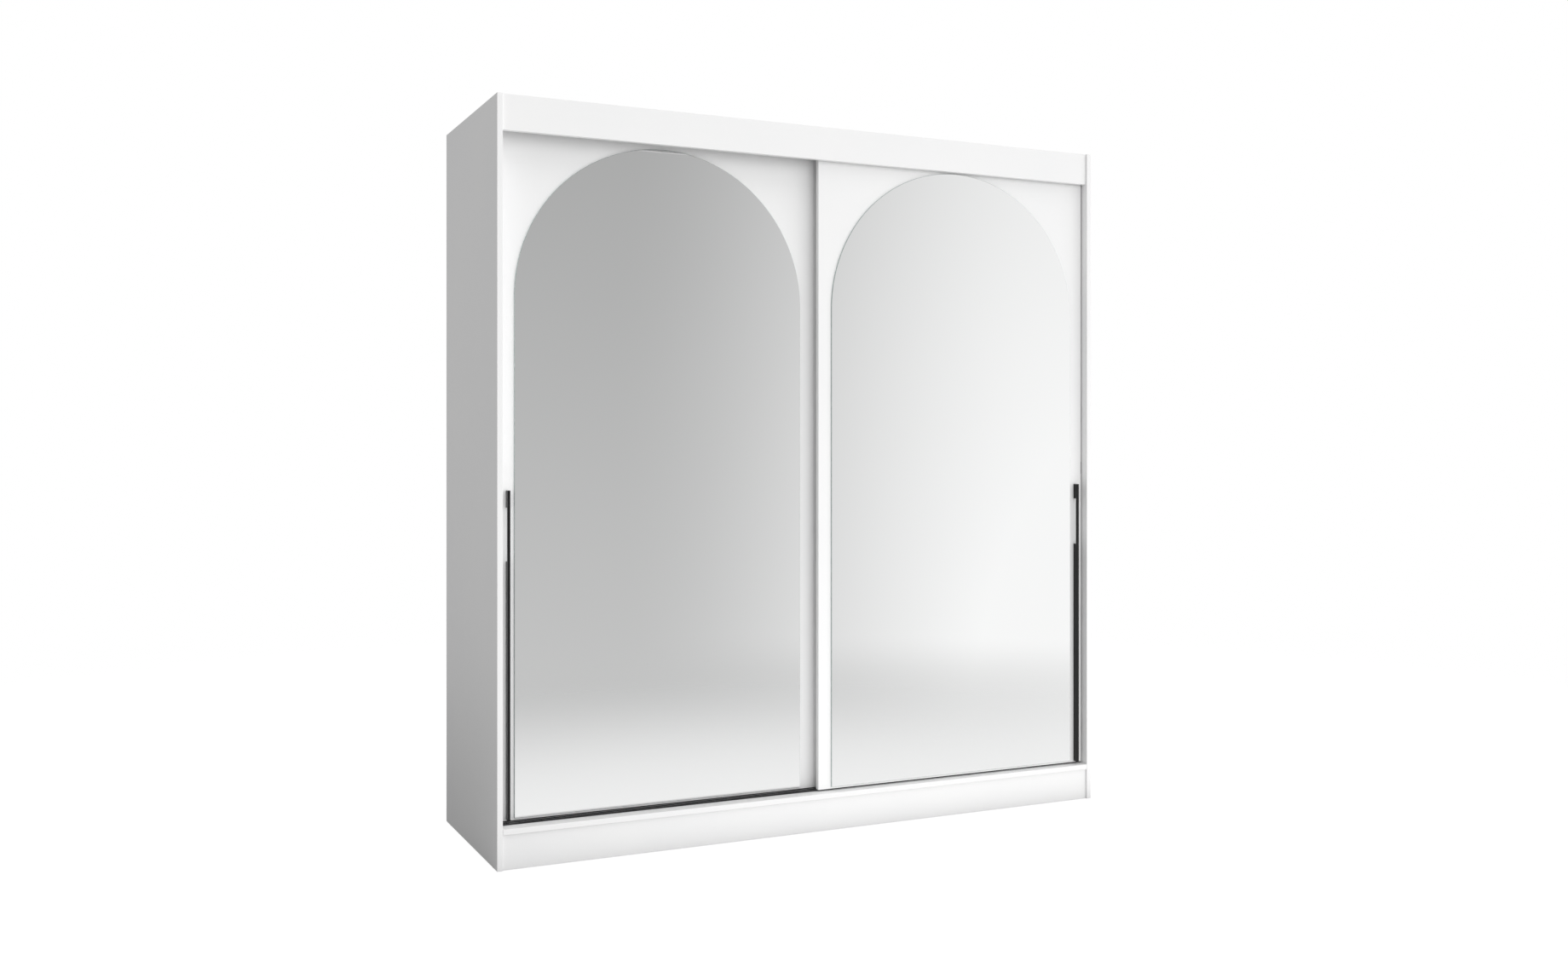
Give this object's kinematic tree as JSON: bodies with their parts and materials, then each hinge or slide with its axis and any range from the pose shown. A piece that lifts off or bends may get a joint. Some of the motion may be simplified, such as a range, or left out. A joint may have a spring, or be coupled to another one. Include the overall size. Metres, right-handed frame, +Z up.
{
  "type": "sliding door wardrobe",
  "caption": "White freestanding wardrobe with sliding doors, full-height arched mirrors, slim black bar handles, plinth, header, shelves and a hanging rail.",
  "frame": {"origin": "on the floor, under the middle of the cabinet", "axes": "+X to the right of someone facing the doors, -Y out of the front, +Z up"},
  "size_m": [2, 0.62, 2.14],
  "materials": {
    "white_board": "white melamine on particle board, satin, with 1 mm edging",
    "white_hardboard": "3 mm hardboard, white lacquer inside and raw brown outside",
    "mirror_glass": "4 mm silvered glass with ground edges",
    "black_metal": "black powder coat, satin",
    "black_track": "black anodised extrusion",
    "chrome_tube": "bright plated tube",
    "zinc_steel": "zinc plated pressed steel",
    "nylon": "natural nylon",
    "guide_plastic": "black moulded plastic",
    "rubber": "soft dark rubber"
  },
  "bodies": {
    "carcass": {"side_panel_left": "white_board", "side_panel_right": "white_board", "header_panel": "white_board", "top_panel": "white_board", "bottom_panel": "white_board", "partition": "white_board", "plinth_front": "white_board", "plinth_rear": "white_board", "plinth_brace": "white_board", "back_panel_left": "white_hardboard", "back_panel_right": "white_hardboard", "hat_shelf_left": "white_board", "hat_shelf_right": "white_board", "shelf_1": "white_board", "shelf_2": "white_board", "shelf_3": "white_board", "shelf_4": "white_board", "hanging_rail": "chrome_tube", "rail_socket_side": "zinc_steel", "rail_socket_partition": "zinc_steel", "bottom_track": "black_track", "top_track": "black_track", "bumper_front_left": "rubber", "bumper_front_right": "rubber", "bumper_rear_left": "rubber", "bumper_rear_right": "rubber", "glide_front_left": "nylon", "glide_rear_left": "nylon", "glide_front_middle": "nylon", "glide_rear_middle": "nylon", "glide_front_right": "nylon", "glide_rear_right": "nylon", "wall_bracket_left": "zinc_steel", "wall_bracket_right": "zinc_steel"},
    "right_door": {"door_panel_right": "white_board", "mirror_right": "mirror_glass", "handle_right": "black_metal", "roller_bracket_right_a": "zinc_steel", "roller_axle_right_a": "zinc_steel", "top_guide_right_a": "guide_plastic", "roller_bracket_right_b": "zinc_steel", "roller_axle_right_b": "zinc_steel", "top_guide_right_b": "guide_plastic"},
    "left_door": {"door_panel_left": "white_board", "mirror_left": "mirror_glass", "handle_left": "black_metal", "roller_bracket_left_a": "zinc_steel", "roller_axle_left_a": "zinc_steel", "top_guide_left_a": "guide_plastic", "roller_bracket_left_b": "zinc_steel", "roller_axle_left_b": "zinc_steel", "top_guide_left_b": "guide_plastic"},
    "right_door_wheel_a": {"wheel_right_a": "nylon"},
    "right_door_wheel_b": {"wheel_right_b": "nylon"},
    "left_door_wheel_a": {"wheel_left_a": "nylon"},
    "left_door_wheel_b": {"wheel_left_b": "nylon"}
  },
  "joints": [
    {"name": "right_door_slide", "type": "slide", "parent": "carcass", "child": "right_door", "axis": [-1, 0, 0], "range_m": [0, 0.981]},
    {"name": "left_door_slide", "type": "slide", "parent": "carcass", "child": "left_door", "axis": [1, 0, 0], "range_m": [0, 0.962]},
    {"name": "right_wheel_a_spin", "type": "hinge", "parent": "right_door", "child": "right_door_wheel_a", "pos_m": [0.0605, -0.258, 0.129], "axis": [0, 1, 0], "continuous": true},
    {"name": "right_wheel_b_spin", "type": "hinge", "parent": "right_door", "child": "right_door_wheel_b", "pos_m": [0.9205, -0.258, 0.129], "axis": [0, 1, 0], "continuous": true},
    {"name": "left_wheel_a_spin", "type": "hinge", "parent": "left_door", "child": "left_door_wheel_a", "pos_m": [-0.921, -0.218, 0.129], "axis": [0, 1, 0], "continuous": true},
    {"name": "left_wheel_b_spin", "type": "hinge", "parent": "left_door", "child": "left_door_wheel_b", "pos_m": [-0.041, -0.218, 0.129], "axis": [0, 1, 0], "continuous": true}
  ],
  "couplings": [
    {"joint": "right_wheel_a_spin", "follows": "right_door_slide", "rad_per_m": -90.909},
    {"joint": "right_wheel_b_spin", "follows": "right_door_slide", "rad_per_m": -90.909},
    {"joint": "left_wheel_a_spin", "follows": "left_door_slide", "rad_per_m": 90.909},
    {"joint": "left_wheel_b_spin", "follows": "left_door_slide", "rad_per_m": 90.909}
  ]
}
